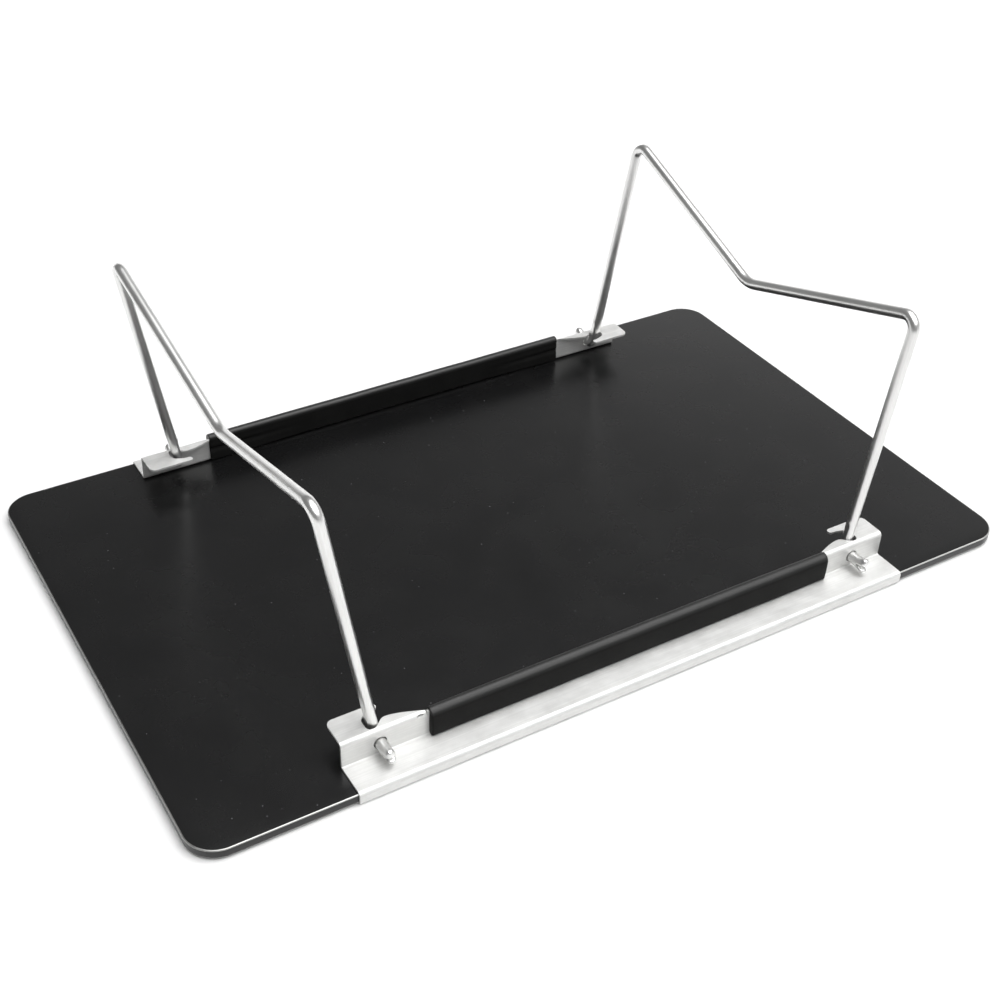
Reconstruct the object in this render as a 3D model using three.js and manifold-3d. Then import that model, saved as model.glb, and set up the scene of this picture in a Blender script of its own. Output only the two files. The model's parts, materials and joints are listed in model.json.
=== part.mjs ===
// Folding wire stand on a flat plate. Units are millimetres, +Z is up.
// The origin is the bottom centre: X runs along the plate's long edges, Y across it.
// Two sheet rails grip the long edges of the plate. Each rail has an upright flange with a
// tab bent inwards at both ends. Two M-shaped wire frames turn in holes in the flanges:
// they stand up leaning outwards against the notches in the tabs, and fold flat inwards.

import * as THREE from 'three';
import { mergeVertices } from 'three/addons/utils/BufferGeometryUtils.js';
import Module from 'manifold-3d';

// Plate
const PLATE_LENGTH = 401.3;
const PLATE_WIDTH = 245.8;
const PLATE_THICKNESS = 4.2;
const PLATE_CORNER_RADIUS = 13.5;
const PLATE_BEVEL = 0.65;

// Bent sheet of the rails
const SHEET = 1.0;
const SHEET_GAP = 0.1;
const CUT_MARGIN = 1;
const HEM_DEPTH = 8;
const RAIL_HALF_LENGTH = 135.8;
const FLANGE_OUTER_Y = 108.3;
const FLANGE_HEIGHT = 13.1;
const EDGE_BEND = 1.3;
const ROOT_BEND = 1.1;
const TAB_BEND = 1.5;

// Tab at each end of a rail, in plan
const TAB_INNER_Y = 94.2;
const TAB_CORNER_RADIUS = 3;
const TAB_START_X = 102.2;
const RELIEF_SLOT = 1.8;
const NOTCH_END_X = 123.3;
const NOTCH_INNER_Y = 97.4;
const NOTCH_OUTER_Y = 106.1;
const NOTCH_ROUND = 3;
const FINGER_TIP_X = 115.4;
const FINGER_TIP_RADIUS = 1.4;
const FINGER_FLARE = 0.3;

// Wire frames
const WIRE_RADIUS = 2.5;
const PIVOT_X = 119;
const PIVOT_ABOVE_PLATE = 6.2;
const LEAN_DEGREES = 9.1;
const POST_BASE_Y = 103;
const FOOT_Y = 100.35;
const FOOT_REACH = 115.9;
const VALLEY_REACH = 84.4;
const BASE_BEND = 4;
const FOOT_BEND = 5.6;
const VALLEY_BEND = 16;
const JOURNAL_END_Y = 112.5;
const HOLE_CLEARANCE = 0.3;

// Split and spread head on each wire end
const HEAD_END_Y = 118;
const HEAD_HALF_HEIGHT = 3.5;
const HEAD_HALF_THICKNESS = 2.2;
const HEAD_NOTCH = 2.4;
const HEAD_NECK = 1.9;
const HEAD_ROOT = 1.2;
const HEAD_CHAMFER = 0.6;

// Soft sleeves over the flanges
const SLEEVE_INNER_Y = 105.8;
const SLEEVE_OUTER_Y = 111.1;
const SLEEVE_TOP = 14.5;
const SLEEVE_INNER_BOTTOM = 2;
const SLEEVE_INNER_ROUND = 1.2;
const SLEEVE_OUTER_ROUND = 2.2;
const SLEEVE_HEEL_ROUND = 1;
const SLEEVE_SLOT_GAP = 0.15;
const FRONT_SLEEVE_X = [-97.8, 101.9];
const REAR_SLEEVE_X = [-101.9, 97.8];

// Fineness of the round surfaces
const WIRE_SIDES = 20;
const BEND_STEPS = 8;
const HOLE_SIDES = 32;
const CORNER_STEPS = 12;

// Heights worked out from the stack of hem, plate and strip
const PLATE_BOTTOM = SHEET + SHEET_GAP;
const PLATE_TOP = PLATE_BOTTOM + PLATE_THICKNESS;
const STRIP_MIDDLE = PLATE_TOP + SHEET_GAP + SHEET / 2;
const TAB_TOP = PLATE_TOP + FLANGE_HEIGHT;
const TAB_MIDDLE = TAB_TOP - SHEET / 2;
const PIVOT_Z = PLATE_TOP + PIVOT_ABOVE_PLATE;
const WALL_MIDDLE_Y = PLATE_WIDTH / 2 + SHEET_GAP + SHEET / 2;
const FLANGE_MIDDLE_Y = FLANGE_OUTER_Y - SHEET / 2;
const FLANGE_INNER_Y = FLANGE_OUTER_Y - SHEET;

const wasm = await Module();
wasm.setup();

const plateMaterial = new THREE.MeshStandardMaterial({ color: 0x27272a, roughness: 0.4, metalness: 0.1 });
const railMaterial = new THREE.MeshStandardMaterial({ color: 0xd8d8d6, roughness: 0.35, metalness: 1 });
const wireMaterial = new THREE.MeshStandardMaterial({ color: 0xc8c8c6, roughness: 0.25, metalness: 1 });
const sleeveMaterial = new THREE.MeshStandardMaterial({ color: 0x1b1b1c, roughness: 0.85, metalness: 0 });

// A closed geometry as a solid that can be cut and joined.
function toSolid(geometry) {
  const bare = geometry.clone();
  bare.deleteAttribute('normal');
  bare.deleteAttribute('uv');
  const merged = mergeVertices(bare, 1e-4);
  const triVerts = new Uint32Array(merged.index.array);
  const vertProperties = new Float32Array(merged.attributes.position.array);
  return new wasm.Manifold(new wasm.Mesh({ numProp: 3, vertProperties, triVerts }));
}

function toGeometry(solid) {
  const mesh = solid.getMesh();
  const geometry = new THREE.BufferGeometry();
  geometry.setAttribute('position', new THREE.BufferAttribute(new Float32Array(mesh.vertProperties), 3));
  geometry.setIndex(new THREE.BufferAttribute(new Uint32Array(mesh.triVerts), 1));
  geometry.computeVertexNormals();
  return geometry;
}

// Points of a polyline whose inner corners are rounded, shifted sideways by offset.
function roundedPath(corners, radii, offset) {
  const points = [];
  const last = corners.length - 1;
  const directionTo = (i) => corners[i + 1].clone().sub(corners[i]).normalize();
  const leftOf = (direction) => new THREE.Vector2(-direction.y, direction.x);
  points.push(corners[0].clone().addScaledVector(leftOf(directionTo(0)), offset));
  for (let i = 1; i < last; i += 1) {
    const before = directionTo(i - 1);
    const after = directionTo(i);
    const turn = Math.atan2(before.cross(after), before.dot(after));
    const side = Math.sign(turn);
    const setback = radii[i - 1] * Math.tan(Math.abs(turn) / 2);
    const arcStart = corners[i].clone().addScaledVector(before, -setback);
    const centre = arcStart.clone().addScaledVector(leftOf(before), side * radii[i - 1]);
    for (let step = 0; step <= BEND_STEPS; step += 1) {
      const spoke = leftOf(before).multiplyScalar(-side * radii[i - 1] + offset);
      spoke.rotateAround(new THREE.Vector2(), (turn * step) / BEND_STEPS);
      points.push(centre.clone().add(spoke));
    }
  }
  points.push(corners[last].clone().addScaledVector(leftOf(directionTo(last - 1)), offset));
  return points;
}

// Cross-section of a bent sheet that follows the given middle line.
function sheetSection(corners, radii) {
  const oneFace = roundedPath(corners, radii, -SHEET / 2);
  const otherFace = roundedPath(corners, radii, SHEET / 2);
  return new THREE.Shape([...oneFace, ...otherFace.reverse()]);
}

// Extrudes a section drawn in (Y, Z) along X.
function alongX(shape, fromX, toX) {
  const geometry = new THREE.ExtrudeGeometry(shape, { depth: toX - fromX, bevelEnabled: false });
  const place = new THREE.Matrix4().set(0, 0, 1, fromX, 1, 0, 0, 0, 0, 1, 0, 0, 0, 0, 0, 1);
  return toSolid(geometry.applyMatrix4(place));
}

// Extrudes a plan drawn in (X, Y) upwards.
function alongZ(shape, fromZ, toZ, curveSegments = CORNER_STEPS) {
  const settings = { depth: toZ - fromZ, bevelEnabled: false, curveSegments };
  return toSolid(new THREE.ExtrudeGeometry(shape, settings).translate(0, 0, fromZ));
}

function boxSolid(fromX, toX, fromY, toY, fromZ, toZ) {
  const box = new THREE.BoxGeometry(toX - fromX, toY - fromY, toZ - fromZ);
  return toSolid(box.translate((fromX + toX) / 2, (fromY + toY) / 2, (fromZ + toZ) / 2));
}

function roundedRectangle(length, width, radius) {
  const x = length / 2 - radius;
  const y = width / 2 - radius;
  const shape = new THREE.Shape();
  shape.absarc(x, y, radius, 0, Math.PI / 2);
  shape.absarc(-x, y, radius, Math.PI / 2, Math.PI);
  shape.absarc(-x, -y, radius, Math.PI, Math.PI * 1.5);
  shape.absarc(x, -y, radius, Math.PI * 1.5, Math.PI * 2);
  return shape;
}

// Flat plate with rounded corners and a small bevel round both rims.
function makePlate() {
  const face = roundedRectangle(
    PLATE_LENGTH - 2 * PLATE_BEVEL,
    PLATE_WIDTH - 2 * PLATE_BEVEL,
    PLATE_CORNER_RADIUS - PLATE_BEVEL,
  );
  const geometry = new THREE.ExtrudeGeometry(face, {
    depth: PLATE_THICKNESS - 2 * PLATE_BEVEL,
    bevelEnabled: true,
    bevelThickness: PLATE_BEVEL,
    bevelSize: PLATE_BEVEL,
    bevelSegments: 1,
    curveSegments: CORNER_STEPS,
  });
  return toSolid(geometry.translate(0, 0, PLATE_BOTTOM + PLATE_BEVEL));
}

// Plan of one tab: a plate with a notch that opens towards the middle of the rail.
// The strip left beside the flange is narrow, so that the post can swing past it.
function tabPlan() {
  const tipY = TAB_INNER_Y + FINGER_TIP_RADIUS;
  const shape = new THREE.Shape();
  shape.moveTo(TAB_START_X, FLANGE_OUTER_Y + SHEET);
  shape.lineTo(TAB_START_X, FLANGE_MIDDLE_Y);
  shape.lineTo(TAB_START_X + (NOTCH_END_X - TAB_START_X) / 3, NOTCH_OUTER_Y);
  shape.lineTo(NOTCH_END_X - NOTCH_ROUND, NOTCH_OUTER_Y);
  shape.quadraticCurveTo(NOTCH_END_X, NOTCH_OUTER_Y, NOTCH_END_X, NOTCH_OUTER_Y - NOTCH_ROUND);
  shape.lineTo(NOTCH_END_X, NOTCH_INNER_Y + NOTCH_ROUND);
  shape.quadraticCurveTo(NOTCH_END_X, NOTCH_INNER_Y, NOTCH_END_X - NOTCH_ROUND, NOTCH_INNER_Y - FINGER_FLARE);
  shape.lineTo(FINGER_TIP_X + FINGER_TIP_RADIUS, tipY + FINGER_TIP_RADIUS);
  shape.absarc(FINGER_TIP_X + FINGER_TIP_RADIUS, tipY, FINGER_TIP_RADIUS, Math.PI / 2, Math.PI * 1.5);
  shape.lineTo(RAIL_HALF_LENGTH - TAB_CORNER_RADIUS, TAB_INNER_Y);
  shape.absarc(
    RAIL_HALF_LENGTH - TAB_CORNER_RADIUS,
    TAB_INNER_Y + TAB_CORNER_RADIUS,
    TAB_CORNER_RADIUS,
    -Math.PI / 2,
    0,
  );
  shape.lineTo(RAIL_HALF_LENGTH, FLANGE_OUTER_Y + SHEET);
  return shape;
}

// Rail on the +Y edge: hem under the plate, wall, strip on the plate, flange and two tabs.
function makeRail() {
  const point = (y, z) => new THREE.Vector2(y, z);
  const hem = [
    point(WALL_MIDDLE_Y - HEM_DEPTH, SHEET / 2),
    point(WALL_MIDDLE_Y, SHEET / 2),
    point(WALL_MIDDLE_Y, STRIP_MIDDLE),
    point(FLANGE_MIDDLE_Y, STRIP_MIDDLE),
  ];
  const hemBends = [EDGE_BEND, EDGE_BEND, ROOT_BEND];
  const straightSection = sheetSection([...hem, point(FLANGE_MIDDLE_Y, TAB_TOP)], hemBends);
  const foldedSection = sheetSection(
    [...hem, point(FLANGE_MIDDLE_Y, TAB_MIDDLE), point(TAB_INNER_Y - CUT_MARGIN, TAB_MIDDLE)],
    [...hemBends, TAB_BEND],
  );
  const bendStart = TAB_MIDDLE - TAB_BEND;
  const innerY = TAB_INNER_Y - 2 * CUT_MARGIN;
  const outerY = FLANGE_OUTER_Y + CUT_MARGIN / 2;
  const upper = (fromX, toX) => boxSolid(fromX, toX, innerY, outerY, bendStart, TAB_TOP + CUT_MARGIN);
  const slotX = TAB_START_X - RELIEF_SLOT;
  const endX = RAIL_HALF_LENGTH + CUT_MARGIN;
  const plan = alongZ(tabPlan(), bendStart - CUT_MARGIN, TAB_TOP + 2 * CUT_MARGIN);
  const straight = alongX(straightSection, -RAIL_HALF_LENGTH, RAIL_HALF_LENGTH)
    .subtract(upper(-endX, -slotX))
    .subtract(upper(slotX, endX));
  const folded = alongX(foldedSection, -RAIL_HALF_LENGTH, RAIL_HALF_LENGTH)
    .subtract(upper(-endX, endX).subtract(plan).subtract(plan.mirror([1, 0, 0])));
  return straight.add(folded).subtract(pivotHole(-1)).subtract(pivotHole(1));
}

function pivotHole(side) {
  const radius = WIRE_RADIUS + HOLE_CLEARANCE;
  const hole = new THREE.CylinderGeometry(radius, radius, SHEET + 2 * CUT_MARGIN, HOLE_SIDES);
  return toSolid(hole.translate(side * PIVOT_X, FLANGE_MIDDLE_Y, PIVOT_Z));
}

// U-shaped sleeve pushed over the flange of the +Y rail; its outer lip stands on the strip.
function makeSleeve(fromX, toX) {
  const bottom = STRIP_MIDDLE + SHEET / 2 + SHEET_GAP;
  const innerBottom = PLATE_TOP + SLEEVE_INNER_BOTTOM;
  const top = PLATE_TOP + SLEEVE_TOP;
  const slotTop = TAB_TOP + SHEET_GAP;
  const slotInner = FLANGE_INNER_Y - SLEEVE_SLOT_GAP;
  const slotOuter = FLANGE_OUTER_Y + SLEEVE_SLOT_GAP;
  const outerX = SLEEVE_OUTER_Y - SLEEVE_OUTER_ROUND;
  const heelX = SLEEVE_OUTER_Y - SLEEVE_HEEL_ROUND;
  const innerX = SLEEVE_INNER_Y + SLEEVE_INNER_ROUND;
  const shape = new THREE.Shape();
  shape.moveTo(SLEEVE_INNER_Y, innerBottom);
  shape.lineTo(slotInner, innerBottom);
  shape.lineTo(slotInner, slotTop);
  shape.lineTo(slotOuter, slotTop);
  shape.lineTo(slotOuter, bottom + ROOT_BEND);
  shape.lineTo(slotOuter + ROOT_BEND / 2, bottom);
  shape.absarc(heelX, bottom + SLEEVE_HEEL_ROUND, SLEEVE_HEEL_ROUND, -Math.PI / 2, 0);
  shape.absarc(outerX, top - SLEEVE_OUTER_ROUND, SLEEVE_OUTER_ROUND, 0, Math.PI / 2);
  shape.absarc(innerX, top - SLEEVE_INNER_ROUND, SLEEVE_INNER_ROUND, Math.PI / 2, Math.PI);
  return alongX(shape, fromX, toX);
}

// Curve through given points that is stepped point by point, so that bends stay fine.
class PointCurve extends THREE.Curve {
  constructor(points) {
    super();
    this.points = points;
  }

  getUtoTmapping(u) {
    return u;
  }

  getPoint(t, target = new THREE.Vector3()) {
    const place = THREE.MathUtils.clamp(t, 0, 1) * (this.points.length - 1);
    const index = Math.min(Math.floor(place), this.points.length - 2);
    return target.lerpVectors(this.points[index], this.points[index + 1], place - index);
  }
}

// Split head at the +Y end of a wire frame, about the pivot axis.
function makeHead() {
  const rootY = JOURNAL_END_Y - HEAD_ROOT;
  const edgeY = HEAD_END_Y - HEAD_CHAMFER;
  const edgeZ = HEAD_HALF_HEIGHT - HEAD_CHAMFER;
  const shape = new THREE.Shape();
  shape.moveTo(rootY, -HEAD_NECK);
  shape.lineTo(JOURNAL_END_Y, -HEAD_NECK);
  shape.lineTo(edgeY, -HEAD_HALF_HEIGHT);
  shape.lineTo(HEAD_END_Y, -edgeZ);
  shape.lineTo(HEAD_END_Y - HEAD_NOTCH, 0);
  shape.lineTo(HEAD_END_Y, edgeZ);
  shape.lineTo(edgeY, HEAD_HALF_HEIGHT);
  shape.lineTo(JOURNAL_END_Y, HEAD_NECK);
  shape.lineTo(rootY, HEAD_NECK);
  return alongX(shape, -HEAD_HALF_THICKNESS, HEAD_HALF_THICKNESS);
}

// M-shaped wire frame in its own plane: Y along the pivot axis, Z up from it.
function makeWireFrame() {
  const corners = [
    [-JOURNAL_END_Y, 0], [-POST_BASE_Y, 0], [-FOOT_Y, FOOT_REACH], [0, VALLEY_REACH],
    [FOOT_Y, FOOT_REACH], [POST_BASE_Y, 0], [JOURNAL_END_Y, 0],
  ].map(([y, z]) => new THREE.Vector2(y, z));
  const radii = [BASE_BEND, FOOT_BEND, VALLEY_BEND, FOOT_BEND, BASE_BEND];
  const route = roundedPath(corners, radii, 0).map((p) => new THREE.Vector3(0, p.x, p.y));
  const section = new THREE.Shape();
  section.absarc(0, 0, WIRE_RADIUS, 0, Math.PI * 2);
  const settings = {
    steps: route.length - 1,
    curveSegments: WIRE_SIDES,
    bevelEnabled: false,
    extrudePath: new PointCurve(route),
  };
  const wire = toSolid(new THREE.ExtrudeGeometry(section, settings));
  const head = makeHead();
  return wire.add(head).add(head.mirror([0, 1, 0]));
}

function addMesh(group, name, solid, material) {
  const mesh = new THREE.Mesh(toGeometry(solid), material);
  mesh.name = name;
  group.add(mesh);
  return mesh;
}

function placeWireFrame(mesh, side) {
  mesh.position.set(side * PIVOT_X, 0, PIVOT_Z);
  mesh.rotation.y = side * THREE.MathUtils.degToRad(LEAN_DEGREES);
}

const group = new THREE.Group();
addMesh(group, 'base_plate', makePlate(), plateMaterial);
addMesh(group, 'rear_rail', makeRail(), railMaterial);
addMesh(group, 'front_rail', makeRail().mirror([0, 1, 0]), railMaterial);
addMesh(group, 'rear_sleeve', makeSleeve(...REAR_SLEEVE_X), sleeveMaterial);
addMesh(group, 'front_sleeve', makeSleeve(...FRONT_SLEEVE_X).mirror([0, 1, 0]), sleeveMaterial);
placeWireFrame(addMesh(group, 'left_wire_frame', makeWireFrame(), wireMaterial), -1);
placeWireFrame(addMesh(group, 'right_wire_frame', makeWireFrame(), wireMaterial), 1);

export default group;
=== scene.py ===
"""Looks of the folding album stand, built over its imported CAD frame. Lengths are in metres.

X runs along the long edges of the plate, Y across it and Z up. A piece is modelled for the
rear (+Y) or the right (+X) side, mirrored for the other one, and rides on the body of the CAD
node that it stands for.
"""

import json
import math

import bmesh
import bpy
from mathutils import Matrix, Vector, geometry, noise


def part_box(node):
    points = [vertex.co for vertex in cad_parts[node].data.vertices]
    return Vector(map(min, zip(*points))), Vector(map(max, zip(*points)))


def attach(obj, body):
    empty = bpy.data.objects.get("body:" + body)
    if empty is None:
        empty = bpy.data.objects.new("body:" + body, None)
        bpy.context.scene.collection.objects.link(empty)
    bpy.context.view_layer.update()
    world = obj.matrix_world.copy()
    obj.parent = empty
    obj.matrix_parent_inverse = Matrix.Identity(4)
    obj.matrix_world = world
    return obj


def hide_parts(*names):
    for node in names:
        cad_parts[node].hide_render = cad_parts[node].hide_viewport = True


MM = 0.001

# Plate
PLATE_CORNER = 13.5 * MM
PLATE_BEVEL = 0.5 * MM
PLATE_CORNER_STEPS = 28
PLATE_RIM_STEPS = 6

# Bent sheet of the rails
SHEET = 1.0 * MM
SHEET_GAP = 0.1 * MM
HEM_DEPTH = 8 * MM
FLANGE_OUTER_Y = 108.3 * MM
EDGE_BEND = 1.3 * MM
ROOT_BEND = 1.1 * MM
TAB_BEND = 1.5 * MM
TAB_START_X = 98.9 * MM
COVERED_TAB_START_X = 102.2 * MM
TAB_GAP = 0.3 * MM
TAB_CORNER = 3 * MM
TAB_OVERHANG = 2 * MM
TAB_TRIM = 0.1 * MM
CORNER_TRIM = 0.01 * MM
WASTE_MARGIN = 4 * MM
BURR_ROUND = 0.38 * MM
BURR_STEPS = 3

# Holes in the rails. The relief hole is placed by its x and by how far it lies below the top.
HOLE_RADIUS = 2.95 * MM
HOLE_SIDES = 48
HOLE_CUT_DEPTH = 6 * SHEET
RELIEF_X = 101.6 * MM
RELIEF_DROP = 1.15 * MM
RELIEF_SIZE = (3.0 * MM, 1.0 * MM)
RELIEF_SIDES = 32
RELIEF_CUT_DEPTH = 8 * SHEET

# Wire frames, in the plane of the frame and measured from the pivot axis
WIRE_RADIUS = 2.5 * MM
LEAN = math.radians(9.1)
POST_BASE_Y = 103 * MM
FOOT_Y = 100.35 * MM
FOOT_REACH = 115.9 * MM
VALLEY_REACH = 84.4 * MM
BASE_BEND = 4 * MM
FOOT_BEND = 5.6 * MM
VALLEY_BEND = 16 * MM
HEAD_START_Y = 112 * MM
HEAD_END_Y = 118 * MM
HEAD_HALF_HEIGHT = 3.5 * MM
HEAD_HALF_THICKNESS = 2.2 * MM
WIRE_SIDES = 48
WIRE_STEP = 4 * MM
MARK_STEP = 0.8 * MM

# Split in the heads: its depth, height and spread, the waist beside it, and how square the lobes
# are. The cap rounds a head off over a turn, and narrows and lowers it by these shares.
HEAD_NOTCH = 3 * MM
HEAD_NOTCH_HEIGHT = -0.7 * MM
HEAD_NOTCH_SPREAD = 0.75 * MM
HEAD_NOTCH_START = 0.35
HEAD_WAIST = 0.22
HEAD_WAIST_SPREAD = 0.9 * MM
HEAD_SQUARENESS = 0.3
HEAD_ROUND = 1.7 * MM
HEAD_STEPS = 14
HEAD_CAP_STEPS = 7
HEAD_CAP_TURN = math.radians(85)
HEAD_CAP_NARROWING = 0.88
HEAD_CAP_LOWERING = 0.35

# Press marks on the posts: heights of their upper ends, how deep they cut, how they ease in and
# out, and the raised lip over the inner one
OUTER_MARK_TOP = 18.5 * MM
OUTER_MARK_TAPER = 0.7
OUTER_MARK_EDGE = 1 * MM
INNER_MARK_TOP = 14 * MM
INNER_MARK_TAPER = 0.6
INNER_MARK_EDGE = 0.6 * MM
INNER_MARK_SHARE = 0.7
MARK_DEPTH = 0.64 * MM
MARK_START = 1 * MM
MARK_EASE = 3 * MM
MARK_LIP = 0.3 * MM
MARK_LIP_RISE = 0.6 * MM
MARK_LIP_SPREAD = 0.7 * MM

# Soft sleeves
SLEEVE_STEP = 2.5 * MM
SLEEVE_SPACING = 0.6 * MM
SLEEVE_INNER_ROUND = 1.9 * MM
SLEEVE_OUTER_ROUND = 3.2 * MM
SLEEVE_HEEL_ROUND = 1.0 * MM
SLEEVE_END_ROUND = 0.5 * MM
SLEEVE_END_STEPS = 4
SLEEVE_SLOT_GAP = 0.15 * MM
SLEEVE_INNER_LIFT = 2 * MM
SLEEVE_CROWN = 0.25 * MM
SLEEVE_LUMPS = 0.12 * MM
SLEEVE_LUMP_SIZE = (22 * MM, 9 * MM)
SLEEVE_TOP_LUMP_LENGTH = 16 * MM
SLEEVE_TOP_LUMP_ROW = 3.7
SLEEVE_FLARE_LENGTH = 50 * MM
SLEEVE_GROOVE = 1.0 * MM
SLEEVE_LIP_DROP = 0.8 * MM
# Heights over which the sleeves' gloss rises: a painted highlight band along their top, not wear
SLEEVE_SHINE_START = 17.2 * MM
SLEEVE_SHINE_FULL = 18.8 * MM

# The flare at the sleeves' ends, in shares of their half width and half height
FLARE_EDGE = -0.4
GROOVE_BELOW_MIDDLE = 0.1
GROOVE_SPREAD = 0.15
TUCK = 0.25
TUCK_HEIGHT = 0.5
LIP_HEIGHT = 0.6

BEND_STEPS = 12
SHARP_ANGLE = math.radians(32)
BEVEL_ANGLE = math.radians(50)

# Camera
CAMERA_PLACE = (-0.2972, -0.4743, 0.4292)
CAMERA_TURN = (53.455, -1.406, -30.564)
CAMERA_LENS = 53.81
CAMERA_SENSOR = 36
CAMERA_SHIFT = (0.0076, 0.0)
CAMERA_NEAR = 0.01

# Light and floor
KEY_PLACE = (0.5, 0.1, 1.8)
KEY_TARGET = (0.05, -0.05, 0)
KEY_SIZE = (0.8, 0.8)
KEY_POWER = 6
FLOOR_REACH = 6

# Surroundings: the least brightness, then three soft glows: broad on the right and low down, low
# at the back right, and strong overhead towards the front. Each is given by its axis, by where
# the cosine of the angle to that axis starts and completes it, and by how much it adds.
SKY_BASE = 0.22
SKY = (
    ((0.62, 0, -0.785), -0.15, 0.05, 0.3),
    ((0.45, 0.75, -0.5), 0.6, 0.85, 0.8),
    ((0.2, -0.3, 0.93), 0.72, 0.9, 3.4),
)


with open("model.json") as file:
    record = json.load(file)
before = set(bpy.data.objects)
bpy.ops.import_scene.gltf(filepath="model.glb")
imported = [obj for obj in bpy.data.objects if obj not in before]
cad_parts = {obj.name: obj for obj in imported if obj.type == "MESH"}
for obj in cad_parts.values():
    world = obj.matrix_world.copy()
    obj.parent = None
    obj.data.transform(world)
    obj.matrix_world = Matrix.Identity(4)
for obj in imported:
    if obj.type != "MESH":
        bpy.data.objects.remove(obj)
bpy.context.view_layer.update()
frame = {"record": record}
PLATE_LOW, PLATE_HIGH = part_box("base_plate")
RAIL_LOW, RAIL_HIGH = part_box("rear_rail")
SLEEVE_LOW, SLEEVE_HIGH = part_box("rear_sleeve")
PIVOT = Vector(frame["record"]["behaviour"]["joints"][1]["pos_m"])


# ---------------------------------------------------------------- shapes

def left_of(heading):
    """The direction to the left of a heading in the plane."""
    return Vector((-heading.y, heading.x))


def rounded_path(corners, radii, steps=BEND_STEPS):
    """A polyline with rounded corners: its points, each with the direction to its left."""
    corners = [Vector(corner) for corner in corners]
    headings = [(b - a).normalized() for a, b in zip(corners, corners[1:])]
    path = [(corners[0], left_of(headings[0]))]
    for corner, before, after, radius in zip(corners[1:], headings, headings[1:], radii):
        turn = math.atan2(before.x * after.y - before.y * after.x, before.dot(after))
        side = math.copysign(1, turn)
        setback = radius * math.tan(abs(turn) / 2)
        centre = corner - before * setback + left_of(before) * side * radius
        for step in range(steps + 1):
            normal = Matrix.Rotation(turn * step / steps, 2) @ left_of(before)
            path.append((centre - normal * side * radius, normal))
    path.append((corners[-1], left_of(headings[-1])))
    return path


def arc(centre, radius, start, end, steps=BEND_STEPS):
    """Points of an arc in a plane, from one angle to another in degrees."""
    angles = [math.radians(start + (end - start) * i / steps) for i in range(steps + 1)]
    return [(centre[0] + radius * math.cos(a), centre[1] + radius * math.sin(a)) for a in angles]


def curve(start, leave, arrive, end, steps=BEND_STEPS):
    """Points of a smooth curve in a plane, given in millimetres by its ends and handles."""
    ends = [Vector((*point, 0)) * MM for point in (start, leave, arrive, end)]
    return [(p.x, p.y) for p in geometry.interpolate_bezier(*ends, steps + 1)]


def smooth(value):
    """0 below 0, 1 above 1, and a soft step between."""
    value = min(max(value, 0), 1)
    return value * value * (3 - 2 * value)


def make_object(name, bm, mirror=None):
    """Turns a bmesh into an object with smooth faces and sharp edges."""
    if mirror is not None:
        bmesh.ops.scale(bm, vec=mirror, verts=bm.verts)
    bmesh.ops.recalc_face_normals(bm, faces=bm.faces)
    mesh = bpy.data.meshes.new(name)
    bm.to_mesh(mesh)
    bm.free()
    mesh.shade_smooth()
    mesh.set_sharp_from_angle(angle=SHARP_ANGLE)
    made = bpy.data.objects.new(name, mesh)
    bpy.context.scene.collection.objects.link(made)
    return made


def apply_modifiers(made):
    """Replaces the object's mesh with what its modifiers make of it."""
    graph = bpy.context.evaluated_depsgraph_get()
    mesh = bpy.data.meshes.new_from_object(made.evaluated_get(graph))
    made.modifiers.clear()
    made.data = mesh
    mesh.shade_smooth()
    mesh.set_sharp_from_angle(angle=SHARP_ANGLE)


def cut(made, cutters):
    """Cuts solids out of an object and removes them."""
    for cutter in cutters:
        modifier = made.modifiers.new("cut", "BOOLEAN")
        modifier.operation = "DIFFERENCE"
        modifier.solver = "EXACT"
        modifier.object = cutter
    apply_modifiers(made)
    for cutter in cutters:
        bpy.data.objects.remove(cutter)


def soften_edges(made, width, segments):
    """Rounds the sharp edges a little and keeps the flat faces flat in the shading."""
    bevel = made.modifiers.new("bevel", "BEVEL")
    bevel.width = width
    bevel.segments = segments
    bevel.limit_method = "ANGLE"
    bevel.angle_limit = BEVEL_ANGLE
    bevel.use_clamp_overlap = True
    apply_modifiers(made)
    weighted = made.modifiers.new("weighted", "WEIGHTED_NORMAL")
    weighted.keep_sharp = True


def prism(outline, low, high):
    """Object made of an outline in (x, y) raised from one height to another."""
    bm = bmesh.new()
    rings = [[bm.verts.new((x, y, z)) for x, y in outline] for z in (low, high)]
    bm.faces.new(rings[0])
    bm.faces.new(rings[1])
    add_walls(bm, *rings)
    return make_object("cutter", bm)


def add_walls(bm, ring, next_ring):
    """Quads between two rings of the same number of points."""
    count = len(ring)
    for i in range(count):
        j = (i + 1) % count
        bm.faces.new((ring[i], ring[j], next_ring[j], next_ring[i]))


# ---------------------------------------------------------------- plate

def plate_outline(inset):
    """Outline of the plate, drawn in by some distance."""
    radius = PLATE_CORNER - inset
    x = PLATE_HIGH.x - PLATE_CORNER
    y = PLATE_HIGH.y - PLATE_CORNER
    centres = ((x, y), (-x, y), (-x, -y), (x, -y))
    return [
        point
        for quarter, centre in enumerate(centres)
        for point in arc(centre, radius, 90 * quarter, 90 * quarter + 90, PLATE_CORNER_STEPS)
    ]


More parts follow.
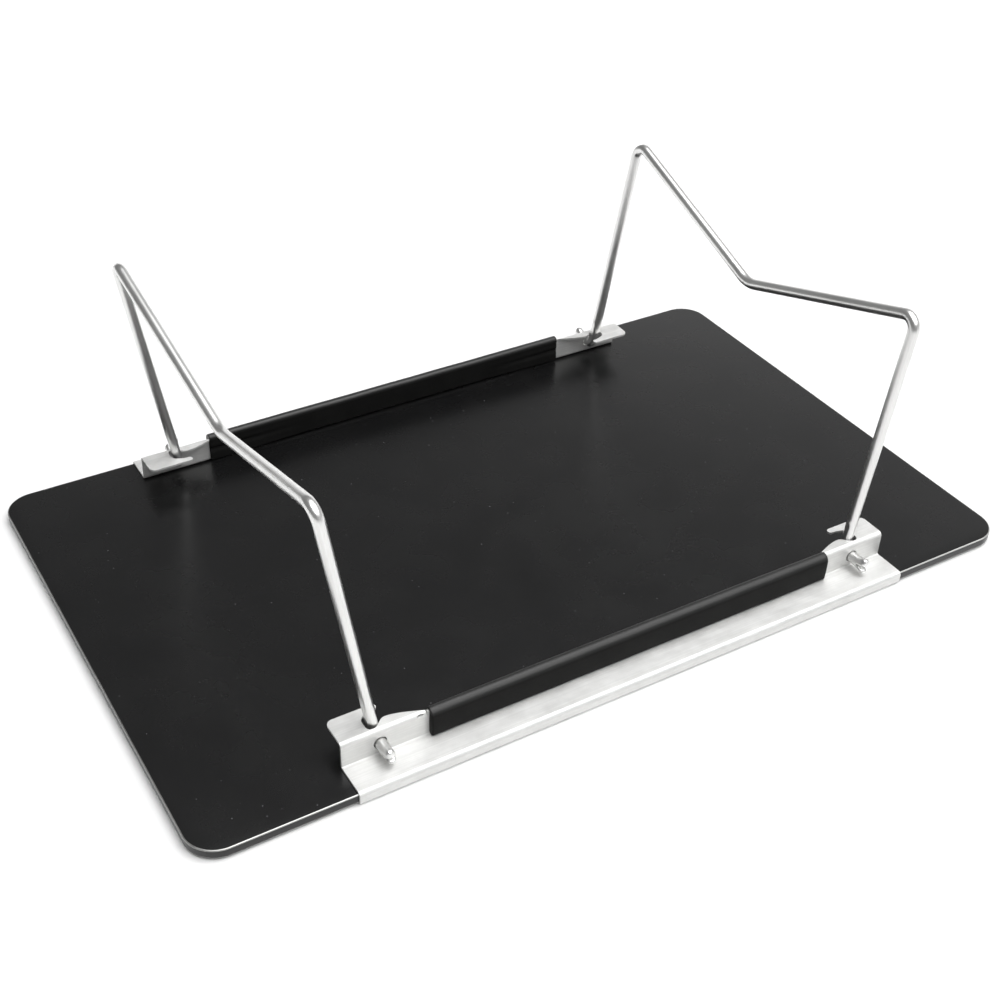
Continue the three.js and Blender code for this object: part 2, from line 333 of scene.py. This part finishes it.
def make_plate(face, rim):
    """The plate: black faces and walls, and a bright rounded bevel round both rims."""
    quarter = arc((0, 0), PLATE_BEVEL, 0, 90, PLATE_RIM_STEPS)
    upper = [(PLATE_HIGH.z - PLATE_BEVEL + z, PLATE_BEVEL - x) for x, z in quarter]
    lower = [(PLATE_LOW.z + PLATE_BEVEL - z, PLATE_BEVEL - x) for x, z in reversed(quarter)]
    bm = bmesh.new()
    rings = [
        [bm.verts.new((x, y, z)) for x, y in plate_outline(inset)] for z, inset in lower + upper
    ]
    bm.faces.new(rings[0])
    bm.faces.new(rings[-1])
    for level, pair in enumerate(zip(rings, rings[1:])):
        before = len(bm.faces)
        add_walls(bm, *pair)
        bm.faces.ensure_lookup_table()
        for quad in bm.faces[before:]:
            quad.material_index = 0 if level == PLATE_RIM_STEPS else 1
    plate = make_object("plate", bm)
    plate.data.materials.append(face)
    plate.data.materials.append(rim)
    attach(plate, "base")
    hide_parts("base_plate")


# ---------------------------------------------------------------- rails

def rail_rows():
    """Middle line of the folded sheet in (y, z), and the row where the tab starts to bend."""
    wall_y = RAIL_HIGH.y - SHEET / 2
    hem_z = RAIL_LOW.z + SHEET / 2
    strip_z = PLATE_HIGH.z + SHEET_GAP + SHEET / 2
    flange_y = FLANGE_OUTER_Y - SHEET / 2
    tab_z = RAIL_HIGH.z - SHEET / 2
    corners = (
        (wall_y - HEM_DEPTH, hem_z),
        (wall_y, hem_z),
        (wall_y, strip_z),
        (flange_y, strip_z),
        (flange_y, tab_z),
        (RAIL_LOW.y - TAB_OVERHANG, tab_z),
    )
    rows = rounded_path(corners, (EDGE_BEND, EDGE_BEND, ROOT_BEND, TAB_BEND))
    return rows, len(rows) - BEND_STEPS - 2


def fold_sheet(cells, middle):
    """Closed sheet made of cells. middle(corner) gives a corner's point and its normal."""
    bm = bmesh.new()
    verts = {}
    borders = set()

    def vert(corner, side):
        if (corner, side) not in verts:
            point, normal = middle(corner)
            verts[corner, side] = bm.verts.new(point + normal * side * SHEET / 2)
        return verts[corner, side]

    for cell in cells:
        for side in (-1, 1):
            bm.faces.new([vert(corner, side) for corner in cell])
        borders.update(zip(cell, cell[1:] + cell[:1]))
    for a, b in borders:
        if (b, a) not in borders:
            bm.faces.new((vert(a, -1), vert(b, -1), vert(b, 1), vert(a, 1)))
    return bm


def tab_waste():
    """Outline, at the right rear, of what is punched away round the tab and its notch."""
    end_x = RAIL_HIGH.x
    inner_y = RAIL_LOW.y
    start_x = (TAB_START_X - TAB_TRIM) / MM
    outline = curve((start_x, 107.2), (99.0, 107.0), (99.5, 106.9), (100.2, 106.6))
    outline += curve((100.2, 106.6), (105.2, 104.6), (110.4, 102.5), (114.2, 102.5))[1:]
    outline += curve((114.2, 102.5), (115.9, 102.5), (116.6, 103.5), (117.6, 104.4))[1:]
    outline += curve((117.6, 104.4), (118.9, 105.4), (119.6, 106.4), (121.0, 106.4))[1:]
    outline += curve((121.0, 106.4), (122.8, 106.4), (123.4, 105.4), (123.4, 103.6))[1:]
    outline += curve((123.4, 101.4), (123.4, 99.2), (121.6, 98.3), (119.2, 97.5))
    outline += curve((119.2, 97.5), (118.1, 97.1), (117.0, 97.1), (115.9, 97.0))[1:]
    outline += curve((115.9, 97.0), (114.2, 96.8), (114.2, 94.2), (116.3, inner_y / MM))[1:]
    corner = (end_x - TAB_CORNER, inner_y + TAB_CORNER)
    outline += arc(corner, TAB_CORNER + CORNER_TRIM, -90, 0)
    outline += [
        (end_x + WASTE_MARGIN, inner_y + TAB_CORNER),
        (end_x + WASTE_MARGIN, inner_y - WASTE_MARGIN),
        (start_x * MM, inner_y - WASTE_MARGIN),
    ]
    return outline


def pivot_hole(side):
    """Cutter of the hole in the flange that a wire turns in."""
    bm = bmesh.new()
    place = Matrix.Translation((side * PIVOT.x, FLANGE_OUTER_Y, PIVOT.z))
    bmesh.ops.create_cone(
        bm, cap_ends=True, segments=HOLE_SIDES, radius1=HOLE_RADIUS, radius2=HOLE_RADIUS,
        depth=HOLE_CUT_DEPTH, matrix=place @ Matrix.Rotation(math.pi / 2, 4, "X"),
    )
    return make_object("cutter", bm)


def relief_hole(side):
    """Cutter of the small oval hole in the bend, where the tab ends beside the sleeve."""
    bm = bmesh.new()
    centre = (side * RELIEF_X, FLANGE_OUTER_Y, RAIL_HIGH.z - RELIEF_DROP)
    place = Matrix.Translation(centre)
    turn = Matrix.Rotation(math.pi / 2, 4, "X")
    oval = Matrix.Diagonal((RELIEF_SIZE[0], 1, RELIEF_SIZE[1], 1))
    bmesh.ops.create_cone(
        bm, cap_ends=True, segments=RELIEF_SIDES, radius1=0.5, radius2=0.5,
        depth=RELIEF_CUT_DEPTH, matrix=place @ oval @ turn,
    )
    return make_object("cutter", bm)


def make_rail(name, node, side, steel):
    """One rail: hem, wall, strip, flange, and at each end a tab bent inwards over the plate.

    One tab starts farther out, as the sleeve reaches farther there.
    """
    rows, fold = rail_rows()
    left, right = COVERED_TAB_START_X, TAB_START_X
    if side < 0:
        left, right = right, left
    columns = (-RAIL_HIGH.x, -left, TAB_GAP - left, right - TAB_GAP, right, RAIL_HIGH.x)
    flange_top = (Vector((rows[fold][0].x, RAIL_HIGH.z)), rows[fold][1])

    def middle(corner):
        column, row = corner
        point, normal = flange_top if row == "top" else rows[row]
        return Vector((columns[column], *point)), Vector((0, *normal))

    cells = []
    for column in range(len(columns) - 1):
        last = len(rows) - 1 if column in (0, 4) else fold
        steps = [(row, row + 1) for row in range(last)]
        if column == 2:
            steps.append((fold, "top"))
        for a, b in steps:
            cells.append(((column, a), (column + 1, a), (column + 1, b), (column, b)))
    rail = make_object(name, fold_sheet(cells, middle))
    waste = tab_waste()
    low, high = rows[fold][0].y, RAIL_HIGH.z + SHEET
    cut(rail, [
        prism(waste, low, high),
        prism([(-x, y) for x, y in waste], low, high),
        pivot_hole(-1),
        pivot_hole(1),
        relief_hole(-1),
        relief_hole(1),
    ])
    if side < 0:
        rail.data.transform(Matrix.Scale(-1, 4, (0, 1, 0)))
        rail.data.flip_normals()
    soften_edges(rail, BURR_ROUND, BURR_STEPS)
    rail.data.materials.append(steel)
    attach(rail, "base")
    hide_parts(node)


# ---------------------------------------------------------------- wire frames

def wire_route():
    """Middle line of a wire frame in (y, height), its points close together at the marks."""
    corners = (
        (-HEAD_START_Y, 0), (-POST_BASE_Y, 0), (-FOOT_Y, FOOT_REACH), (0, VALLEY_REACH),
        (FOOT_Y, FOOT_REACH), (POST_BASE_Y, 0), (HEAD_START_Y, 0),
    )
    radii = (BASE_BEND, FOOT_BEND, VALLEY_BEND, FOOT_BEND, BASE_BEND)
    path = rounded_path(corners, radii)
    route = [path[0]]
    for (a, _), (b, normal) in zip(path, path[1:]):
        length = (b - a).length
        done = 0
        while done < length:
            spot = a.lerp(b, done / length)
            done = min(length, done + (MARK_STEP if is_marked(spot) else WIRE_STEP))
            route.append((a.lerp(b, done / length), normal))
    return route


def is_marked(spot):
    """Whether a point (y, height) lies on the low part of a post, where the press marks are."""
    return abs(spot.x) > FOOT_Y and spot.y < OUTER_MARK_TOP + WIRE_STEP


def press_mark(across, along, height):
    """Flattens a point of the wire's round section where the post was pressed.

    across is measured outwards from the plate's middle, along in the plane of the frame.
    """
    fade = smooth((height - MARK_START) / MARK_EASE)
    if across > 0:
        slope = 1 - OUTER_MARK_TAPER * height / OUTER_MARK_TOP
        depth = MARK_DEPTH * slope * fade * smooth((OUTER_MARK_TOP - height) / OUTER_MARK_EDGE)
    else:
        slope = 1 - INNER_MARK_TAPER * height / INNER_MARK_TOP
        depth = INNER_MARK_SHARE * MARK_DEPTH * slope * fade
        depth *= smooth((INNER_MARK_TOP - height) / INNER_MARK_EDGE)
        above = height - INNER_MARK_TOP - MARK_LIP_RISE
        lip = MARK_LIP * math.exp(-(above / MARK_LIP_SPREAD) ** 2)
        across *= 1 + lip * (across / WIRE_RADIUS) ** 2 / WIRE_RADIUS
    if depth > 0:
        across = math.copysign(min(abs(across), WIRE_RADIUS - depth), across)
    return across, along


def ring_angles():
    """Angles of the points round a wire, the same for all its rings."""
    return [2 * math.pi * (i + 0.5) / WIRE_SIDES for i in range(WIRE_SIDES)]


def wire_ring(bm, point, normal):
    """One ring of the wire, at a point of its route in (y, height)."""
    ring = []
    for angle in ring_angles():
        across, along = WIRE_RADIUS * math.cos(angle), WIRE_RADIUS * math.sin(angle)
        if is_marked(point):
            across, along = press_mark(across, along, point.y)
        y, height = point + normal * along
        ring.append(bm.verts.new((across, y, height)))
    return ring


def head_rings(bm, end):
    """Rings of the split and spread head at the -Y (end -1) or +Y (end 1) side."""
    rings = []
    for station in range(1, HEAD_STEPS + HEAD_CAP_STEPS + 1):
        part = min(station / HEAD_STEPS, 1)
        turn = HEAD_CAP_TURN * max(station - HEAD_STEPS, 0) / HEAD_CAP_STEPS
        y = HEAD_START_Y + (HEAD_END_Y - HEAD_ROUND - HEAD_START_Y) * part
        y += HEAD_ROUND * math.sin(turn)
        ring = []
        for angle in ring_angles():
            across, up = head_section(angle, end, smooth(part), math.cos(turn))
            ring.append(bm.verts.new((across, end * (y - head_notch(up, part)), up)))
        rings.append(ring)
    return rings


def head_section(angle, end, spread, shrink):
    """A point round the head in (across, up): a circle that grows into two lobes."""
    across, up = math.cos(angle), -end * math.sin(angle)
    half_height = WIRE_RADIUS + (HEAD_HALF_HEIGHT - WIRE_RADIUS) * spread
    half_width = WIRE_RADIUS + (HEAD_HALF_THICKNESS - WIRE_RADIUS) * spread
    waist = math.exp(-((up * half_height - HEAD_NOTCH_HEIGHT) / HEAD_WAIST_SPREAD) ** 2)
    across *= abs(across) ** (-HEAD_SQUARENESS * spread)
    across *= half_width * (1 - HEAD_WAIST * spread * waist)
    up *= half_height * (1 - HEAD_CAP_LOWERING * spread * (1 - shrink))
    return across * (1 - HEAD_CAP_NARROWING * (1 - shrink)), up


def head_notch(up, part):
    """How far the end of the head lies back at some height, in the split between its lobes."""
    split = math.exp(-((up - HEAD_NOTCH_HEIGHT) / HEAD_NOTCH_SPREAD) ** 2)
    return HEAD_NOTCH * split * smooth((part - HEAD_NOTCH_START) / (1 - HEAD_NOTCH_START))


def close_end(bm, ring):
    """Quads across a flattened end, from each point to the one facing it."""
    half = WIRE_SIDES // 2
    quarter = WIRE_SIDES // 4
    right = [ring[(i - quarter) % WIRE_SIDES] for i in range(half)]
    left = [ring[(half + quarter - 1 - i) % WIRE_SIDES] for i in range(half)]
    for i in range(half - 1):
        bm.faces.new((right[i], right[i + 1], left[i + 1], left[i]))


def lay_along(bm, rings):
    """Joins the rings and gives every face a UV: round the wire, and along it in metres."""
    layer = bm.loops.layers.uv.new("along")
    distance = 0
    around = 2 * math.pi * WIRE_RADIUS
    for ring, next_ring in zip(rings, rings[1:]):
        middles = [sum((v.co for v in r), Vector()) / len(r) for r in (ring, next_ring)]
        step = (middles[1] - middles[0]).length
        for i in range(WIRE_SIDES):
            j = (i + 1) % WIRE_SIDES
            quad = bm.faces.new((ring[i], ring[j], next_ring[j], next_ring[i]))
            u = (around * i / WIRE_SIDES, around * (i + 1) / WIRE_SIDES)
            v = (distance, distance + step)
            spots = ((u[0], v[0]), (u[1], v[0]), (u[1], v[1]), (u[0], v[1]))
            for loop, spot in zip(quad.loops, spots):
                loop[layer].uv = spot
        distance += step


def make_wire(name, node, body, side, steel):
    """One M-shaped wire frame, leaning outwards on its pivot axis."""
    bm = bmesh.new()
    rings = [wire_ring(bm, point, normal) for point, normal in wire_route()]
    rings = head_rings(bm, -1)[::-1] + rings + head_rings(bm, 1)
    lay_along(bm, rings)
    close_end(bm, rings[0])
    close_end(bm, rings[-1])
    lean = Matrix.Rotation(LEAN, 4, "Y")
    place = Matrix.Translation((PIVOT.x, 0, PIVOT.z))
    bmesh.ops.transform(bm, matrix=place @ lean, verts=bm.verts)
    wire = make_object(name, bm, mirror=(side, 1, 1))
    wire.data.materials.append(steel)
    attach(wire, body)
    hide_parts(node)


# ---------------------------------------------------------------- sleeves

def sleeve_section():
    """Section of a sleeve in (y, z): a crowned outside and a slot for the flange."""
    low, high = SLEEVE_LOW, SLEEVE_HIGH
    inner_low = PLATE_HIGH.z + SLEEVE_INNER_LIFT
    slot_inner = FLANGE_OUTER_Y - SHEET - SLEEVE_SLOT_GAP
    slot_outer = FLANGE_OUTER_Y + SLEEVE_SLOT_GAP
    slot_top = RAIL_HIGH.z + SHEET_GAP
    inner_round, outer_round, heel = SLEEVE_INNER_ROUND, SLEEVE_OUTER_ROUND, SLEEVE_HEEL_ROUND
    outside = [(low.y, inner_low)]
    outside += arc((low.y + inner_round, high.z - inner_round), inner_round, 180, 90, 6)
    outside += arc((high.y - outer_round, high.z - outer_round), outer_round, 90, 0, 8)
    outside += arc((high.y - heel, low.z + heel), heel, 0, -90, 5)
    slot = [
        (slot_outer + ROOT_BEND / 2, low.z),
        (slot_outer, low.z + ROOT_BEND),
        (slot_outer, slot_top),
        (slot_inner, slot_top),
        (slot_inner, inner_low),
    ]
    return spaced(outside) + slot


def spaced(points):
    """The same line with its points close together."""
    line = [points[0]]
    for a, b in zip(points, points[1:]):
        count = max(1, math.ceil(math.dist(a, b) / SLEEVE_SPACING))
        for i in range(1, count + 1):
            line.append((a[0] + (b[0] - a[0]) * i / count, a[1] + (b[1] - a[1]) * i / count))
    return line


def sleeve_point(x, y, z, inset, seed):
    """A point of the sleeve, crowned, a little lumpy, and rounded off towards its ends."""
    middle = Vector(((SLEEVE_LOW.y + SLEEVE_HIGH.y) / 2, (SLEEVE_LOW.z + SLEEVE_HIGH.z) / 2))
    half = Vector(((SLEEVE_HIGH.y - SLEEVE_LOW.y) / 2, (SLEEVE_HIGH.z - SLEEVE_LOW.z) / 2))
    across, up = (y - middle.x) / half.x, (z - middle.y) / half.y
    outer = max(0, across) ** 2
    lump = noise.noise(Vector((x / SLEEVE_LUMP_SIZE[0], z / SLEEVE_LUMP_SIZE[1], seed)))
    top_lump = noise.noise(Vector((x / SLEEVE_TOP_LUMP_LENGTH, SLEEVE_TOP_LUMP_ROW, seed)))
    flare_y, flare_z = sleeve_flare(x, across, up)
    y += outer * (SLEEVE_CROWN * (1 - up * up) + SLEEVE_LUMPS * lump) + flare_y
    z += max(0, up) ** 4 * SLEEVE_LUMPS * top_lump + flare_z
    skin = max(abs(across), abs(up)) ** 2
    return x, y - across * inset * skin, z - up * inset * skin * 0.5


def sleeve_flare(x, across, up):
    """Shift in (y, z) of the inner wall near the ends: a groove, and a lip below it that hangs."""
    if across > FLARE_EDGE:
        return 0, 0
    near_end = smooth((abs(x) - SLEEVE_HIGH.x + SLEEVE_FLARE_LENGTH) / SLEEVE_FLARE_LENGTH)
    groove = math.exp(-((up + GROOVE_BELOW_MIDDLE) / GROOVE_SPREAD) ** 2)
    tuck = TUCK * smooth(up / TUCK_HEIGHT)
    drop = SLEEVE_LIP_DROP * smooth(-up / LIP_HEIGHT)
    return near_end * SLEEVE_GROOVE * (groove + tuck), -near_end * drop


def make_sleeve(name, node, side, rubber, seed):
    """One soft sleeve, pushed over the flange of a rail."""
    low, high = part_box(node)
    count = round((high.x - low.x) / SLEEVE_STEP)
    stations = [(low.x + (high.x - low.x) * i / count, 0) for i in range(1, count)]
    rim = SLEEVE_END_ROUND
    for i in range(SLEEVE_END_STEPS + 1):
        turn = math.radians(90 * i / SLEEVE_END_STEPS)
        along, inset = rim * (1 - math.sin(turn)), rim * (1 - math.cos(turn))
        stations += [(low.x + along, inset), (high.x - along, inset)]
    stations.sort()
    section = sleeve_section()
    bm = bmesh.new()
    rings = [
        [bm.verts.new(sleeve_point(x, y, z, inset, seed)) for y, z in section]
        for x, inset in stations
    ]
    for pair in zip(rings, rings[1:]):
        add_walls(bm, *pair)
    caps = [bm.faces.new(rings[0]), bm.faces.new(rings[-1])]
    bmesh.ops.triangulate(bm, faces=caps)
    sleeve = make_object(name, bm, mirror=(1, side, 1))
    sleeve.data.materials.append(rubber)
    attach(sleeve, "base")
    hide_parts(node)


# ---------------------------------------------------------------- materials

class Finish:
    """A material of procedural nodes round one Principled shader."""

    def __init__(self, name, **values):
        self.material = bpy.data.materials.new(name)
        self.material.use_nodes = True
        self.tree = self.material.node_tree
        self.shader = self.tree.nodes["Principled BSDF"]
        for socket, value in values.items():
            self.shader.inputs[socket.replace("_", " ")].default_value = value

    def node(self, kind, links=None, values=None, **settings):
        """A new node, with links from other nodes' outputs and with fixed values."""
        made = self.tree.nodes.new(kind)
        for key, value in settings.items():
            setattr(made, key, value)
        for key, value in (values or {}).items():
            made.inputs[key].default_value = value
        for key, source in (links or {}).items():
            self.tree.links.new(source, made.inputs[key])
        return made

    def coordinates(self, source, scale):
        """Object or UV coordinates, stretched by a scale for each axis."""
        place = self.node("ShaderNodeTexCoord").outputs[source]
        return self.node("ShaderNodeMapping", {"Vector": place}, {"Scale": scale}).outputs[0]

    def noise(self, vector, scale, detail, roughness=0.5):
        values = {"Scale": scale, "Detail": detail, "Roughness": roughness}
        return self.node("ShaderNodeTexNoise", {"Vector": vector}, values).outputs["Fac"]

    def spread(self, source, low, high, from_low=0.3, from_high=0.7):
        """Maps a range of a node's output, a noise's usual one by default, to another range."""
        values = {1: from_low, 2: from_high, 3: low, 4: high}
        return self.node("ShaderNodeMapRange", {0: source}, values).outputs[0]

    def mix(self, factor, a, b):
        """Colour between a and b, each a colour or another node's output."""
        made = self.node("ShaderNodeMix", {0: factor}, data_type="RGBA")
        for socket, value in ((6, a), (7, b)):
            if isinstance(value, tuple):
                made.inputs[socket].default_value = (*value, 1)
            else:
                self.tree.links.new(value, made.inputs[socket])
        return made.outputs[2]

    def bump(self, height, distance, strength, normal=None):
        links = {"Height": height}
        if normal is not None:
            links["Normal"] = normal
        values = {"Distance": distance, "Strength": strength}
        return self.node("ShaderNodeBump", links, values).outputs[0]

    def drive(self, socket, source):
        self.tree.links.new(source, self.shader.inputs[socket])


def satin_black():
    """Black satin faces: faint clouds, a fine orange peel and sparse pale specks."""
    finish = Finish("satin_black", Metallic=0.0, IOR=1.5)
    place = finish.coordinates("Object", (1, 1, 1))
    clouds = finish.spread(finish.noise(place, 28, 4), 0, 1)
    black = finish.mix(clouds, (0.0032, 0.0032, 0.0034), (0.0050, 0.0050, 0.0051))
    dots = finish.node("ShaderNodeTexVoronoi", {"Vector": place}, {"Scale": 160.0})
    tint = finish.node("ShaderNodeSeparateColor", {0: dots.outputs["Color"]}).outputs[0]
    rare = finish.spread(tint, 0, 1, 0.3, 0.9)
    near = finish.spread(dots.outputs["Distance"], 1, 0, 0.03, 0.06)
    speck = finish.node("ShaderNodeMath", {0: near, 1: rare}, operation="MULTIPLY").outputs[0]
    finish.drive("Base Color", finish.mix(speck, black, (0.1, 0.1, 0.105)))
    finish.drive("Roughness", finish.spread(finish.noise(place, 45, 5), 0.25, 0.29))
    finish.drive("Normal", finish.bump(finish.noise(place, 1500, 2), 0.00001, 0.3))
    return finish.material


def cut_rim():
    """Bright metal where the rim of the plate was bevelled."""
    finish = Finish("cut_rim", Metallic=1.0)
    streaks = finish.noise(finish.coordinates("Object", (60, 60, 900)), 1, 4)
    shade = finish.spread(streaks, 0, 1)
    finish.drive("Base Color", finish.mix(shade, (0.34, 0.34, 0.33), (0.48, 0.48, 0.47)))
    finish.drive("Roughness", finish.spread(streaks, 0.32, 0.42))
    finish.drive("Normal", finish.bump(streaks, 0.00003, 0.5))
    return finish.material


def satin_sheet():
    """Pale satin steel sheet: streaks along the rail and a soft mottle."""
    finish = Finish("satin_sheet", Metallic=0.7)
    streaks = finish.noise(finish.coordinates("Object", (14, 1400, 1400)), 1, 4)
    place = finish.coordinates("Object", (1, 1.6, 1.6))
    mottle = finish.noise(place, 130, 4, 0.6)
    pale = finish.mix(finish.spread(mottle, 0, 1), (0.66, 0.66, 0.65), (0.77, 0.77, 0.76))
    finish.drive("Base Color", finish.mix(finish.spread(streaks, 0, 0.3), pale, (0.5, 0.5, 0.49)))
    finish.drive("Roughness", finish.spread(mottle, 0.52, 0.62))
    ripple = finish.bump(finish.noise(place, 95, 2), 0.0002, 0.12)
    grain = finish.bump(finish.noise(place, 1100, 2), 0.00004, 0.25, ripple)
    finish.drive("Normal", finish.bump(streaks, 0.00002, 0.2, grain))
    return finish.material


def drawn_wire():
    """Satin drawn wire: fine scratches along its length and a few duller patches."""
    finish = Finish("drawn_wire", Metallic=1.0)
    lines = finish.noise(finish.coordinates("UV", (900, 14, 1)), 1, 3)
    patches = finish.noise(finish.coordinates("Object", (1, 1, 1)), 60, 2)
    pale = finish.mix(finish.spread(patches, 0, 1), (0.78, 0.78, 0.77), (0.86, 0.86, 0.85))
    finish.drive("Base Color", finish.mix(finish.spread(lines, 0, 0.25), pale, (0.5, 0.5, 0.49)))
    finish.drive("Roughness", finish.spread(patches, 0.28, 0.34))
    return finish.material


def soft_rubber():
    """Matte black soft rubber with a fine closed-cell grain, given a stronger gloss along its top
    as a painted highlight band.
    """
    finish = Finish("soft_rubber", Metallic=0.0)
    place = finish.coordinates("Object", (1, 1, 1))
    grain = finish.noise(place, 1700, 3, 0.6)
    patches = finish.spread(finish.noise(place, 90, 3), 0, 1)
    shade = finish.mix(patches, (0.006, 0.006, 0.0058), (0.0095, 0.0095, 0.0092))
    pale_grain = finish.spread(grain, 0, 0.5)
    finish.drive("Base Color", finish.mix(pale_grain, shade, (0.014, 0.014, 0.0137)))
    # Painted highlight: the specular level rises with height so that a bright band shows along the
    # top. It is not wear.
    height = finish.node("ShaderNodeSeparateXYZ", {0: place}).outputs["Z"]
    painted_highlight_gloss = finish.spread(height, 0.04, 0.42, SLEEVE_SHINE_START, SLEEVE_SHINE_FULL)
    finish.drive("Specular IOR Level", painted_highlight_gloss)
    finish.drive("Roughness", finish.spread(grain, 0.34, 0.46))
    finish.drive("Normal", finish.bump(grain, 0.00012, 0.5))
    return finish.material


def pale_floor():
    """Matte pale floor, faintly uneven in tone."""
    finish = Finish("pale_floor", Metallic=0.0, Roughness=0.9)
    tone = finish.spread(finish.noise(finish.coordinates("Object", (1, 1, 1)), 3, 2), 0, 1)
    finish.drive("Base Color", finish.mix(tone, (0.76, 0.76, 0.76), (0.78, 0.78, 0.78)))
    return finish.material


# ---------------------------------------------------------------- studio

def make_floor():
    """Large flat floor under the stand."""
    bm = bmesh.new()
    bmesh.ops.create_grid(bm, x_segments=1, y_segments=1, size=FLOOR_REACH)
    floor = make_object("floor", bm)
    floor.data.materials.append(pale_floor())


def make_light(name, place, target, size, power):
    """A soft rectangular light that faces a point."""
    lamp = bpy.data.lights.new(name, "AREA")
    lamp.shape = "RECTANGLE"
    lamp.size, lamp.size_y = size
    lamp.energy = power
    light = bpy.data.objects.new(name, lamp)
    light.location = place
    light.rotation_euler = (Vector(target) - Vector(place)).to_track_quat("-Z", "Y").to_euler()
    bpy.context.scene.collection.objects.link(light)


def make_world():
    """Studio surroundings: an even dim white with the soft glows listed in SKY added to it."""
    world = bpy.data.worlds.new("studio")
    world.use_nodes = True
    bpy.context.scene.world = world
    tree = world.node_tree
    direction = tree.nodes.new("ShaderNodeTexCoord").outputs["Generated"]
    total = None
    for axis, low, high, strength in SKY:
        dot = tree.nodes.new("ShaderNodeVectorMath")
        dot.operation = "DOT_PRODUCT"
        dot.inputs[1].default_value = Vector(axis).normalized()
        tree.links.new(direction, dot.inputs[0])
        ramp = tree.nodes.new("ShaderNodeMapRange")
        ramp.interpolation_type = "SMOOTHSTEP"
        for socket, value in ((1, low), (2, high), (3, 0), (4, strength)):
            ramp.inputs[socket].default_value = value
        tree.links.new(dot.outputs["Value"], ramp.inputs[0])
        # The first glow is added to the least brightness, each other one to the sum so far.
        add = tree.nodes.new("ShaderNodeMath")
        add.operation = "ADD"
        add.inputs[1].default_value = SKY_BASE
        tree.links.new(ramp.outputs[0], add.inputs[0])
        if total is not None:
            tree.links.new(total, add.inputs[1])
        total = add.outputs[0]
    tree.links.new(total, tree.nodes["Background"].inputs["Strength"])
    tree.nodes["Background"].inputs["Color"].default_value = (1, 1, 1, 1)


def make_camera():
    """Camera that looks down on the stand from the front left."""
    camera = bpy.data.objects.new("camera", bpy.data.cameras.new("camera"))
    camera.location = CAMERA_PLACE
    camera.rotation_euler = [math.radians(angle) for angle in CAMERA_TURN]
    camera.data.sensor_width = CAMERA_SENSOR
    camera.data.lens = CAMERA_LENS
    camera.data.shift_x, camera.data.shift_y = CAMERA_SHIFT
    camera.data.clip_start = CAMERA_NEAR
    bpy.context.scene.collection.objects.link(camera)
    bpy.context.scene.camera = camera


def build():
    """The whole scene: the pieces of the stand, then floor, surroundings, light and camera."""
    make_plate(satin_black(), cut_rim())
    sheet = satin_sheet()
    make_rail("rear_rail_sheet", "rear_rail", 1, sheet)
    make_rail("front_rail_sheet", "front_rail", -1, sheet)
    wire = drawn_wire()
    make_wire("left_wire", "left_wire_frame", "left_frame", -1, wire)
    make_wire("right_wire", "right_wire_frame", "right_frame", 1, wire)
    rubber = soft_rubber()
    make_sleeve("rear_soft_sleeve", "rear_sleeve", 1, rubber, 1.3)
    make_sleeve("front_soft_sleeve", "front_sleeve", -1, rubber, 8.9)
    make_floor()
    make_world()
    make_light("key", KEY_PLACE, KEY_TARGET, KEY_SIZE, KEY_POWER)
    make_camera()
    bpy.context.scene.view_settings.view_transform = "Standard"


build()
